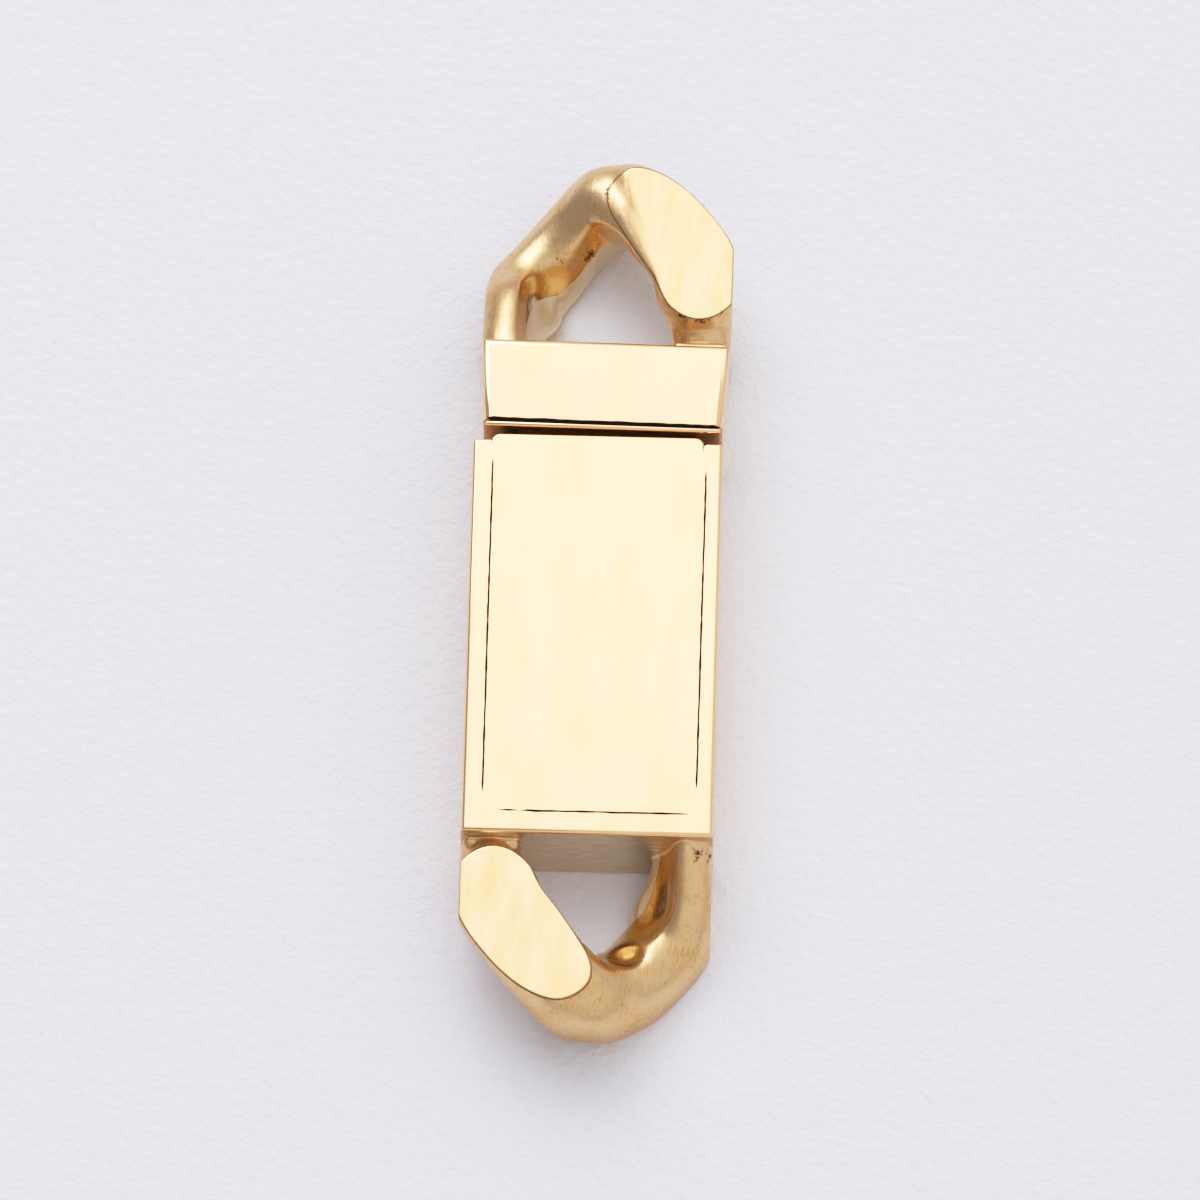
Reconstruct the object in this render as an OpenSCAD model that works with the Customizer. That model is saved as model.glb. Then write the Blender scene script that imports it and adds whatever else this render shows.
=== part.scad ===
// Insert clasp for a flat curb chain, lying on its back with the insert pushed home.
// +Y runs from the housing's link to the insert's link, +Z is the polished face,
// and the origin is under the middle of the clasp, on the surface it lies on.

/* [Clasp] */
// Width over the housing, the same as the chain's
clasp_w = 12; // [11:0.5:14]
// Thickness between the two ground faces
clasp_t = 4.8; // [4.6:0.1:5.4]

/* [Housing] */
// Length of the housing without its link
box_l = 20.6; // [18:0.2:26]
// Thickness of the floor under the cavity
floor_t = 0.7; // [0.6:0.1:0.8]
// Thickness of the side walls beside the cavity
side_t = 1.4; // [1.3:0.1:1.6]
// Thickness of the end wall that carries the link
end_t = 1.6; // [1.5:0.1:2.4]

/* [Cover plate] */
// Thickness of the plate let into the top of the housing
plate_t = 0.8; // [0.6:0.1:0.9]
// Width of the rail left beside the plate
rail_w = 0.9; // [0.8:0.05:1.0]
// Width of the strip left beyond the plate, over the end wall
end_rail = 1.1; // [1.0:0.05:1.2]
// Width of the seam round the plate
seam_w = 0.1; // [0.06:0.01:0.14]
// How far the plate stands out past the rails at the mouth
plate_over = 0.25; // [0:0.05:0.3]

/* [Half curb links] */
// How much longer the legs of the insert's link are
long_leg = 0.7; // [0:0.1:1]
// How far the ground shoulders of a link stand in from its square corners
shoulder_cut = 3.3; // [3.0:0.05:3.6]
// Radius of the round groove that the next link lies in
groove_r = 2.1; // [1.9:0.05:2.2]
// Radius of the hollow beyond the groove, towards the bend
hollow_r = 1.5; // [1.2:0.05:1.6]

/* [Insert] */
// Gap between the rails' ends and the face of the insert
mouth_gap = 0.65; // [0.5:0.05:1]
// Width of the head at its front plate; at its link it is as wide as the clasp
head_front_w = 11.5; // [11:0.1:11.9]
// Length of the head without its front plate
head_l = 4.35; // [3.5:0.05:6]
// Thickness of the front plate that carries the tongue
front_t = 0.3; // [0.25:0.05:0.5]
// Width of the dark line between the front plate and the head
line_w = 0.12; // [0.08:0.01:0.2]
// Depth of that line
line_d = 0.35; // [0.2:0.05:0.6]
// How far the insert lies to the right of the housing's middle
insert_shift = 0.2; // [0:0.05:0.25]
// How far the insert is turned clockwise by its play
insert_turn = 0.7; // [0:0.1:0.8]

/* [Tongue and spring leaf] */
// Width of the tongue
tongue_w = 8.2; // [6:0.1:8.4]
// Thickness of the tongue
tongue_t = 1.4; // [1.2:0.1:1.6]
// Room left round the tongue in the cavity
room = 0.3; // [0.25:0.05:0.4]
// Width of the leaf
leaf_w = 4.4; // [3:0.1:4.6]
// Thickness of the leaf
leaf_t = 0.3; // [0.25:0.05:0.35]
// Length of the leaf's flat root, along the tongue
leaf_root = 2.2; // [1.5:0.1:3]
// Width of the catch window in the floor
window_w = 5.4; // [4.8:0.1:6]
// Length of the catch window
window_l = 2.4; // [2.2:0.1:3]
// Distance from the mouth to the catch window
window_in = 3.4; // [2.5:0.1:5]

/* [Hidden] */

GOLD = [0.93, 0.79, 0.52];
PALE_GOLD = [0.98, 0.88, 0.66];
STEEL_GOLD = [0.80, 0.66, 0.42];
ROUND = 28;

// A link is drawn at this width and thickness, and resized to the clasp's
LINK_W = 12;
LINK_T = 4.8;
across = clasp_w / LINK_W;

// Sections of the wire from the root of the high leg to the middle of the bend.
// X is the distance from the link's long axis, OUT the distance from the block it
// grows from, UP the height over mid thickness, and R the wire's radius there.
// The low leg is the same turned half round the long axis.
X = 0;
OUT = 1;
UP = 2;
R = 3;
WIRE = [
    // X    OUT    UP     R
    [4.80, -1.00,  0.00, 1.80],
    [4.65,  0.10, -0.15, 1.50],
    [4.20,  3.20,  1.80, 2.15],
    [3.00,  5.10,  2.00, 2.10],
    [1.45,  6.70,  1.30, 2.15],
    [0.00,  7.55,  0.00, 2.00]
];
// Rings to each stretch between two sections, and corners to each ring
STEPS = 3;
SIDES = 16;
// Half width over a link's ground flanks, just inside the housing's
FLANK = 5.98;
// Slope of the ground shoulders, out against across
SHOULDER_SLOPE = 0.805 / 0.593;

// A leg narrows by this much on its flank where it enters its block, from this far out
ROOT_IN = 0.15;
ROOT_OUT = 0.6;
// The bottom of the ground outline, inside the block
ROOT_DEEP = 2;

// Groove for the next link, on the low leg: its two ends, then the hollow's middle
GROOVE_ROOT = [-2.10, 0.20, 1.70];
GROOVE_END = [-2.05, 2.75, 0.90];
HOLLOW = [-1.00, 5.00, 1.00];
// The front plate stops this short of the head's edges
FRONT_IN = 0.1;

bend_reach = (WIRE[5][OUT] + WIRE[5][R]) * across;
head_y = box_l + mouth_gap;
overall_l = 2 * bend_reach + head_y + front_t + head_l + long_leg;
// The housing's end wall starts here, so that the origin is the middle
wall_y = bend_reach - overall_l / 2;
mouth_y = wall_y + box_l;

cavity_w = clasp_w - 2 * side_t;
cavity_top = clasp_t - plate_t;
recess_w = clasp_w - 2 * rail_w;
tongue_top = cavity_top - room;
tongue_bottom = tongue_top - tongue_t;
tongue_tip = end_t + room;
tongue_l = head_y - tongue_tip;
window_end = box_l - window_in;
window_start = window_end - window_l;
// The leaf's toe stops this far short of the window's edges, and its ramp down is this long
toe_gap = 0.2;
ramp_l = 0.6;
toe_l = window_l - 2 * toe_gap - ramp_l;
toe_bottom = 0.25;
leaf_low = floor_t + 0.25;

// The other half of the wire: the same sections, turned half round the long axis
function turned(s) = [-s[X], s[OUT], -s[UP], s[R]];
function whole_wire() = concat(WIRE, [for (i = [len(WIRE) - 2:-1:0]) turned(WIRE[i])]);
function moved_out(s, longer) = [s[X], s[OUT] + (s[OUT] > 0 ? longer : 0), s[UP], s[R]];

// A smooth curve through rows b and c, with a and d as its neighbours
function between(a, b, c, d, t) =
    0.5 * (2 * b + (c - a) * t + (2 * a - 5 * b + 4 * c - d) * t * t + (3 * b - a - 3 * c + d) * t * t * t);
function row(rows, i) =
    i < 0 ? 2 * rows[0] - rows[1] :
    i >= len(rows) ? 2 * rows[len(rows) - 1] - rows[len(rows) - 2] :
    rows[i];
function smooth(rows) = [
    for (i = [0:len(rows) - 2], k = [0:STEPS - 1])
        between(row(rows, i - 1), rows[i], rows[i + 1], row(rows, i + 2), k / STEPS),
    rows[len(rows) - 1]
];

function place(s) = [s[X], s[OUT], s[UP]];
function unit(v) = v / norm(v);
function ring(rings, i) =
    let (
        ahead = unit(place(row(rings, i + 1)) - place(row(rings, i - 1))),
        side = unit(cross(ahead, [0, 0, 1])),
        up = cross(side, ahead)
    )
    [for (k = [0:SIDES - 1])
        let (a = 360 * (k + 0.5) / SIDES)
        place(rings[i]) + rings[i][R] * (cos(a) * side + sin(a) * up)];

// Wire of changing thickness along a list of sections
module swept_wire(sections) {
    rings = smooth(sections);
    last = len(rings) - 1;
    points = [for (i = [0:last]) each ring(rings, i)];
    sides = [
        for (i = [0:last - 1], k = [0:SIDES - 1])
            let (a = i * SIDES + k, b = i * SIDES + (k + 1) % SIDES)
            each [[a, b, b + SIDES], [a, b + SIDES, a + SIDES]]
    ];
    root_cap = [for (k = [SIDES - 1:-1:0]) k];
    end_cap = [for (k = [0:SIDES - 1]) last * SIDES + k];
    polyhedron(points = points, faces = concat(sides, [root_cap], [end_cap]));
}

// Outline of the ground flanks and shoulders, seen from above
module ground_outline(longer) {
    corner_y = WIRE[5][OUT] + WIRE[5][R] - LINK_W / 2 * SHOULDER_SLOPE + shoulder_cut + longer;
    polygon([
        [-FLANK + ROOT_IN, -ROOT_DEEP],
        [FLANK - ROOT_IN, -ROOT_DEEP],
        [FLANK, ROOT_OUT],
        [FLANK, corner_y],
        [0, corner_y + FLANK * SHOULDER_SLOPE],
        [-FLANK, corner_y],
        [-FLANK, ROOT_OUT]
    ]);
}

// Hollows on the inside of the low leg, where the next link nests
module nest(longer) {
    translate([0, longer, 0]) {
        hull()
            for (end = [GROOVE_ROOT, GROOVE_END])
                translate(end)
                    sphere(r = groove_r, $fn = ROUND);
        translate(HOLLOW)
            sphere(r = hollow_r, $fn = ROUND);
    }
}

// Half of a twisted curb link, growing towards +Y out of a block that ends at y = 0
module half_link(longer = 0) {
    sections = [for (s = whole_wire()) moved_out(s, longer)];
    resize([2 * FLANK * across, 0, clasp_t], auto = [false, true, false])
        translate([0, 0, LINK_T / 2])
            difference() {
                intersection() {
                    swept_wire(sections);
                    translate([0, 0, -LINK_T / 2])
                        linear_extrude(LINK_T)
                            ground_outline(longer);
                }
                nest(longer);
                rotate([0, 180, 0])
                    nest(longer);
            }
}

// A box given by its middle line, its two ends along Y and its two heights
module bar(width, y, z) {
    translate([-width / 2, y[0], z[0]])
        cube([width, y[1] - y[0], z[1] - z[0]]);
}

// Box with its end wall and soldered half link, open at the mouth and on top
module housing() {
    color(GOLD)
        translate([0, wall_y, 0]) {
            difference() {
                bar(clasp_w, [0, box_l], [0, clasp_t]);
                bar(cavity_w, [end_t, box_l + 1], [floor_t, clasp_t + 1]);
                bar(recess_w, [end_rail, box_l + 1], [cavity_top, clasp_t + 1]);
                bar(window_w, [window_start, window_end], [-1, floor_t + 1]);
            }
            rotate([0, 0, 180])
                half_link();
        }
}

// Plate let into the top of the housing, on the ledges round the cavity
module cover_plate() {
    color(PALE_GOLD)
        translate([0, wall_y, 0])
            bar(recess_w - 2 * seam_w, [end_rail + seam_w, box_l + plate_over], [cavity_top, clasp_t]);
}

// The insert lies a little to one side and turned, as its play lets it
module as_pushed_in() {
    translate([insert_shift, mouth_y, 0])
        rotate([0, 0, -insert_turn])
            translate([0, -box_l, 0])
                children();
}

// Outline of the head from above, narrower at its front
module head_outline(front, back) {
    polygon([
        [-head_front_w / 2, front],
        [head_front_w / 2, front],
        [clasp_w / 2, back],
        [-clasp_w / 2, back]
    ]);
}

// Block with the insert's half link, and the dark line behind its front plate
module insert_head() {
    front = head_y + front_t;
    back = front + head_l;
    color(GOLD)
        as_pushed_in()
            union() {
                difference() {
                    linear_extrude(clasp_t)
                        head_outline(front, back);
                    bar(clasp_w + 1, [front - 1, front + line_w], [clasp_t - line_d, clasp_t + 1]);
                }
                translate([0, back, 0])
                    half_link(long_leg);
            }
}

// Front plate on the head, and the plain bar that slides into the cavity
module tongue() {
    front_w = head_front_w - 2 * FRONT_IN;
    color(STEEL_GOLD)
        as_pushed_in()
            union() {
                bar(front_w, [head_y, head_y + front_t], [FRONT_IN, clasp_t - FRONT_IN]);
                bar(tongue_w, [tongue_tip, head_y + front_t / 2], [tongue_bottom, tongue_top]);
            }
}

// Bent leaf under the tongue, with its toe in the catch window
module spring_leaf() {
    toe_start = window_end - toe_gap - toe_l;
    bend_y = toe_start - ramp_l;
    profile = [
        [tongue_tip, tongue_bottom],
        [tongue_tip, tongue_bottom - leaf_t],
        [tongue_tip + leaf_root, tongue_bottom - leaf_t],
        [bend_y, leaf_low],
        [toe_start, toe_bottom],
        [toe_start + toe_l, toe_bottom],
        [toe_start + toe_l, toe_bottom + leaf_t],
        [toe_start, toe_bottom + leaf_t],
        [bend_y, leaf_low + leaf_t],
        [tongue_tip + leaf_root, tongue_bottom]
    ];
    color(STEEL_GOLD)
        as_pushed_in()
            translate([-leaf_w / 2, 0, 0])
                rotate([90, 0, 90])
                    linear_extrude(leaf_w)
                        polygon(profile);
}

housing();
cover_plate();
insert_head();
tongue();
spring_leaf();
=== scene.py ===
import math
import random
from functools import cache, partial

import bmesh
import bpy
from bpy.props import FloatProperty, FloatVectorProperty, PointerProperty, StringProperty
from mathutils import Matrix, Vector


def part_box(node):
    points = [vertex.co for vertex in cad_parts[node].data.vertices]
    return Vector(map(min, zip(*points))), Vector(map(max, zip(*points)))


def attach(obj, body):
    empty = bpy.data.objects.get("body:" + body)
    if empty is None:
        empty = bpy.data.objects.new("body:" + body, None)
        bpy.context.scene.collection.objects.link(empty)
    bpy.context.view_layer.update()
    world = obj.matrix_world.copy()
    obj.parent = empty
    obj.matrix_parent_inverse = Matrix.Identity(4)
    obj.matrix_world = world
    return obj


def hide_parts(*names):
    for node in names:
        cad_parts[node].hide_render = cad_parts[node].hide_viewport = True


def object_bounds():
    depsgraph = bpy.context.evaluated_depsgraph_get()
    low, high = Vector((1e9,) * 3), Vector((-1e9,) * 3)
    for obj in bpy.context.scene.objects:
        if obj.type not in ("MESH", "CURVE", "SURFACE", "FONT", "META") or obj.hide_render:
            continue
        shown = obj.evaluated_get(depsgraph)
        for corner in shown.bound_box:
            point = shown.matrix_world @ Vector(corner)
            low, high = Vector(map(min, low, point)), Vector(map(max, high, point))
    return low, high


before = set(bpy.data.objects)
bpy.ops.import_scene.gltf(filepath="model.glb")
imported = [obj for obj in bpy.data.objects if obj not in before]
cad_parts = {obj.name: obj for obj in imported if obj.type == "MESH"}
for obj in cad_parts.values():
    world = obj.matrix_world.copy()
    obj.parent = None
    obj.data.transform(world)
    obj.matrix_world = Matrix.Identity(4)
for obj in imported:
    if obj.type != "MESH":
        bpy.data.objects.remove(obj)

bl_info = {
    "name": "Insert clasp",
    "version": (1, 0, 0),
    "blender": (4, 5, 0),
    "location": "View3D > Sidebar > Clasp",
    "description": "Push-in clasp of a flat curb chain, with its two soldered half links",
    "category": "Object",
}

MM = 0.001

# What the CAD model says about itself
bpy.context.view_layer.update()
CAD_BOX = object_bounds()
THICKNESS = CAD_BOX[1].z - CAD_BOX[0].z
PLATE_LOW, PLATE_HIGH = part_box("cover_plate")


def in_mm(name, description, millimetres):
    """A length in the panel, given in millimetres."""
    return FloatProperty(name=name, description=description, default=millimetres * MM,
                         unit="LENGTH", subtype="DISTANCE")


def in_degrees(name, description, degrees):
    """An angle in the panel, given in degrees."""
    return FloatProperty(name=name, description=description, default=math.radians(degrees),
                         unit="ROTATION", subtype="ANGLE")


def in_hex(name, description, default):
    """A colour in the panel, kept as an sRGB hex value."""
    return StringProperty(name=name, description=description, default=default)


class BlockSizes(bpy.types.PropertyGroup):
    """Housing, cover plate and head, measured from the housing's end wall"""

    width: in_mm("Width", "Width over the housing", 12.0)
    length: in_mm("Housing length", "From the end wall to the rails' ends", 20.6)
    floor: in_mm("Floor", "Thickness under the cavity", 0.7)
    wall: in_mm("Side wall", "Thickness beside the cavity", 1.4)
    end_wall: in_mm("End wall", "Thickness of the wall that carries the link", 1.6)
    rail: in_mm("Rail", "Width of the rail beside the cover plate", 0.9)
    end_rail: in_mm("End rail", "Width left beyond the cover plate, over the end wall", 1.1)
    plate: in_mm("Cover plate", "Thickness of the cover plate", 0.8)
    plate_over: in_mm("Plate overhang", "How far the plate stands out past the rails", 0.25)
    seam: in_mm("Seam", "Width of the open seam round the cover plate", 0.09)
    edge: in_mm("Edge", "Radius that polishing leaves on the outer edges", 0.2)
    window_width: in_mm("Window width", "Width of the catch window in the floor", 5.4)
    window_length: in_mm("Window length", "Length of the catch window", 2.4)
    window_in: in_mm("Window distance", "From the rails' ends to the catch window", 3.4)


class InsertSizes(bpy.types.PropertyGroup):
    """Head, tongue and leaf"""

    gap: in_mm("Mouth gap", "Between the rails' ends and the front plate", 0.65)
    front: in_mm("Front plate", "Thickness of the front plate", 0.3)
    front_width: in_mm("Front width", "Width of the head at its front plate", 11.5)
    head: in_mm("Head", "Length of the head behind its front plate", 4.35)
    shift: in_mm("Shift", "How far the insert lies to the right of the housing", 0.2)
    turn: in_degrees("Turn", "How far the insert is turned clockwise by its play", 0.7)
    tongue: in_mm("Tongue width", "Width of the tongue", 8.2)
    tongue_thickness: in_mm("Tongue thickness", "Thickness of the tongue", 1.4)
    room: in_mm("Room", "Room left round the tongue", 0.3)
    leaf: in_mm("Leaf", "Thickness of the spring leaf", 0.3)
    leaf_width: in_mm("Leaf width", "Width of the spring leaf", 4.4)
    leaf_bend: in_mm("Leaf bend", "Radius that the leaf is bent over", 0.5)


class LinkSizes(bpy.types.PropertyGroup):
    """Half curb links: a twisted wire, ground flat on its faces, flanks and shoulders"""

    wire: in_mm("Wire radius", "Radius of the wire along the legs", 2.13)
    neck: in_mm("Neck radius", "Radius of the wire where it enters its block", 1.6)
    tip_loss: in_mm("Tip loss", "How much thinner the wire is at the middle of its bend", 0.13)
    flank: in_mm("Flank", "Half width over the ground flanks", 5.98)
    shoulder: in_mm("Shoulder", "Distance of the ground shoulders from the link's origin", 7.6)
    longer: in_mm("Longer legs", "How much longer the legs of the insert's link are", 0.7)
    groove: in_mm("Groove radius", "Radius of the groove that the next link lies in", 2.1)
    edge: in_mm("Edge", "Softness of the ground edges", 0.09)
    rim: in_mm("Rim", "Softness of the rims of the groove and the hollow", 0.8)
    grain: in_mm("Mesh size", "Size of the faces of the links' mesh", 0.07)


class FinishColours(bpy.types.PropertyGroup):
    """Colours of the plating, as sRGB hex values"""

    flat: in_hex("Polished flats", "Mirror-polished gold plating on the ground faces", "#FECE9C")
    flat_warm: in_hex("Polished flats, warm", "The same, where the plating is thicker", "#FBC891")
    facet: in_hex("Polished facets", "The same on the ground faces of the wire", "#FBC796")
    facet_warm: in_hex("Polished facets, warm", "The same, where the plating is thicker", "#F0B87E")
    wire: in_hex("Wire", "Tumbled gold plating on the round wire", "#E3BC8C")
    # Deep gold: in random clouds over the wire, and in the grooves as a painted highlight under the rim
    wire_deep: in_hex("Wire, deep", "Thick plating along the rims of grooves and hollows", "#E8B062")
    # Pale gold: the grooves' worn walls take it as a painted reflection of the paper, and the sawn end wall
    # as its base
    wire_pale: in_hex("Wire, thin", "Thin plating on the worn walls of the grooves", "#EDDBBA")
    # Brown: in clouds and file marks on the wire, in sawn lines on the end wall, along the ground edges, as
    # a painted dark reflection in the grooves and under the insert's facet tip, and as painted shade in two
    # spots
    rim: in_hex("Rims", "Brown film along the ground edges", "#7A4E22")
    inside: in_hex("Inside", "Satin gold plating on tongue and leaf", "#E5C58B")
    # Painted shadow laid over the satin plating towards the mouth
    mouth_shadow: in_hex("Soiled", "The same, dulled by dirt in the mouth", "#3A2614")
    # Near black: in the seams and pits, and as a painted dark reflection under the insert's facet tip
    dark: in_hex("Dark line", "Oxide in the seams and pits", "#2A1B0C")
    paper: in_hex("Paper", "Finely textured paper under the clasp", "#F7F7FF")


class StageSizes(bpy.types.PropertyGroup):
    """Camera and light"""

    distance: in_mm("Camera distance", "From the camera to the clasp", 800)
    elevation: in_degrees("Elevation", "Angle of the camera above the paper", 65.72)
    azimuth: in_degrees("Azimuth", "How far the camera stands round to the right", 1.50)
    look_at: FloatVectorProperty(
        name="Look at", description="Point in the middle of the picture", size=3,
        default=(0.287 * MM, -0.041 * MM, 2.4 * MM), unit="LENGTH", subtype="TRANSLATION")
    lens: FloatProperty(
        name="Lens", description="Focal length in millimetres on a sensor 36 mm wide",
        default=500.2)


# The node kinds and settings that are used most
MATH = "ShaderNodeMath"
VECTOR = "ShaderNodeVectorMath"
RANGE = "ShaderNodeMapRange"
MIX = "ShaderNodeMix"
NOISE = "ShaderNodeTexNoise"
MAPPING = "ShaderNodeMapping"
SPLIT = "ShaderNodeSeparateXYZ"
NEAREST = "GeometryNodeProximity"
SMOOTH = {"interpolation_type": "SMOOTHSTEP"}
FLOAT_SOCKET = "NodeSocketFloat"
VECTOR_SOCKET = "NodeSocketVector"
GEOMETRY_SOCKET = "NodeSocketGeometry"
MATERIAL_SOCKET = "NodeSocketMaterial"


def feed(made, feeds):
    """Feeds a node's inputs, by number or by name, with values, sockets or other nodes."""
    pairs = feeds.items() if isinstance(feeds, dict) else enumerate(feeds)
    for key, value in pairs:
        if isinstance(value, bpy.types.Node):
            value = next(socket for socket in value.outputs if socket.enabled)
        if isinstance(value, bpy.types.NodeSocket):
            made.id_data.links.new(value, made.inputs[key])
        else:
            made.inputs[key].default_value = value
    return made


def add(tree, kind, feeds=(), operation=None, **settings):
    """Adds a node with its operation, if it has one, its other settings and its links."""
    made = tree.nodes.new(kind)
    if operation:
        made.operation = operation
    for name, value in settings.items():
        setattr(made, name, value)
    return feed(made, feeds)


# The sRGB curve: where its straight foot ends and how steep that is, its offset and its power
FOOT_END = 0.04045
FOOT = 12.92
OFFSET = 0.055
POWER = 2.4


def linear(hex_colour, alpha=True):
    """An sRGB hex value as the linear colour that the nodes take."""
    values = []
    for start in (1, 3, 5):
        part = int(hex_colour[start:start + 2], 16) / 255
        values.append(part / FOOT if part <= FOOT_END else ((part + OFFSET) / (1 + OFFSET)) ** POWER)
    return (*values, 1.0) if alpha else tuple(values)


# The round wire's middle line from the root of the high leg to the middle of the bend, in
# millimetres: ACROSS from the link's long axis, OUT from its block, UP over mid thickness
ACROSS, OUT, UP = 0, 1, 2
WIRE = (
    (4.80, -1.00, 0.00),
    (4.65, 0.10, -0.15),
    (4.20, 3.20, 1.80),
    (3.00, 5.10, 2.00),
    (1.45, 6.70, 1.30),
    (0.00, 7.55, 0.00),
)
# Points that the middle line is divided into
LINE_POINTS = 1400
# Turns a place half round about the link's long axis, which swaps the two legs
HALF_TURN = (-1, 1, -1)
LEVEL_ONLY = (1, 1, 0)
# Direction of the ground shoulders, across and out
SHOULDER_ACROSS = 0.805
SHOULDER_OUT = 0.593
# The neck thickens to the wire's full radius over this stretch, and the wire thins again
# towards the middle of the bend
NECK = (0.1 * MM, 3.2 * MM)
TIP_ACROSS = 1.5 * MM
# Under the ground face the full wire ends in a cap instead, round about the leg's middle
CAP_LENGTH = 0.7 * MM
CAP_MIDDLE = 4.3 * MM
CAP_CURVE = 0.25 / MM
CAP_UP = (0.7 * MM, 1.6 * MM)
# The worn wall: the middle of the window, the wall's direction inwards and up, and how far
# from the wire's middle line it lies as a share of the wire's radius
WINDOW_MIDDLE = (0.0, 2.8 * MM, 0.0)
WALL_IN = 0.883
WALL_UP = 0.469
WALL_SHARE = 0.9
WALL_BLEND = 0.2 * MM
# It runs out towards the middle of the bend
WALL_ENDS = (1.0 * MM, 0.35 * MM)
WALL_LIFT = 0.5 * MM
# How sharply the golden band of painted highlight ends on it, how deep it must be to show, and the
# depth that is noted where it does, as a share of the golden band's; past the band the wall is
# painted pale as a painted reflection of the paper
WALL_FADE = (-0.1 * MM, 0.1 * MM)
WALL_SHOWS = (0.0, 0.02 * MM)
WALL_PALE = 1.5
# The inner edge of the ground face is rolled over: in which direction, from where to where,
# and along which stretch towards the bend
ROLL_INWARDS = (-0.84, -0.543, 0.0)
ROLL_ACROSS = (-5.7 * MM, -4.5 * MM)
ROLL_ALONG = (1.5 * MM, 7.0 * MM)
# The groove's middle line, in millimetres, and how much softer than its rim the hollow's is
GROOVE_FROM = (-2.10, 0.20, 1.70)
GROOVE_TO = (-2.05, 2.75, 0.90)
SOFT_RIM = 0.9
# The slab that the legs are welded to lies just inside the block's end
SLAB_HALF_WIDTH = 5.7 * MM
SLAB_HALF_HEIGHT = 2.1 * MM
SLAB_SUNK = 0.02 * MM
ROOT_DEEP = 0.5 * MM
# The weld: its fillet against the block, and the bead beside the high leg's neck
FILLET = 0.35 * MM
BEAD_FROM = (3.5 * MM, 0.2 * MM, 1.35 * MM)
BEAD_TO = (5.6 * MM, 0.2 * MM, 1.35 * MM)
BEAD_RADIUS = 0.3 * MM
BEAD_BLEND = 0.12 * MM
# The grid that the mesh is taken from: half its width and height, how far it reaches back
# into the block, and how far past the bend
GRID_HALF = (6.2 * MM, 2.6 * MM)
GRID_BACK = 0.7 * MM
GRID_PAST = 0.2 * MM
# The mesh is pulled onto the exact surface in this many steps, by slopes over this distance
PULLS = 3
PROBE = 0.006 * MM
# The ground faces fade into the round wire over this distance
FADE = 0.05 * MM

# Inputs of the curb link's node trees, with the kind of each socket
LINK_INPUTS = {
    **dict.fromkeys((
        "Half thickness", "Flank", "Shoulder", "Longer", "Wire radius", "Neck radius", "Tip loss",
        "Groove radius", "Hollow radius", "Edge", "Roll", "Rim", "Fillet", "Bead radius", "Cap",
        "Band", "Wall top"), FLOAT_SOCKET),
    **dict.fromkeys(("Groove root", "Groove end", "Hollow"), VECTOR_SOCKET),
}
# What differs between the links: the hollow's middle, in millimetres, and its radius; how far
# the inner edge is rolled over; where the cap starts; and where the golden band of painted
# highlight ends, by depth under the round wire and by height on the worn wall, past which the
# wall is painted pale as a painted reflection of the paper
HOUSING_LINK = {
    "Hollow": (-1.9, 4.9, 0.6), "Hollow radius": 1.05 * MM, "Roll": 0.0, "Cap": 0.45 * MM,
    "Band": 0.9 * MM, "Wall top": 0.45 * MM,
}
HEAD_LINK = {
    "Hollow": (-0.6, 4.05, 0.9), "Hollow radius": 1.55 * MM, "Roll": 1.9 * MM, "Cap": 0.2 * MM,
    "Band": 0.85 * MM, "Wall top": -0.05 * MM,
}


def new_group(name, inputs, outputs):
    """An empty node tree: its add function, its input sockets and its output node."""
    tree = bpy.data.node_groups.new(name, "GeometryNodeTree")
    for way, sockets in (("INPUT", inputs), ("OUTPUT", outputs)):
        for label, kind in sockets.items():
            tree.interface.new_socket(label, in_out=way, socket_type=kind)
    node = partial(add, tree)
    return node, node("NodeGroupInput").outputs, node("NodeGroupOutput")


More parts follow.
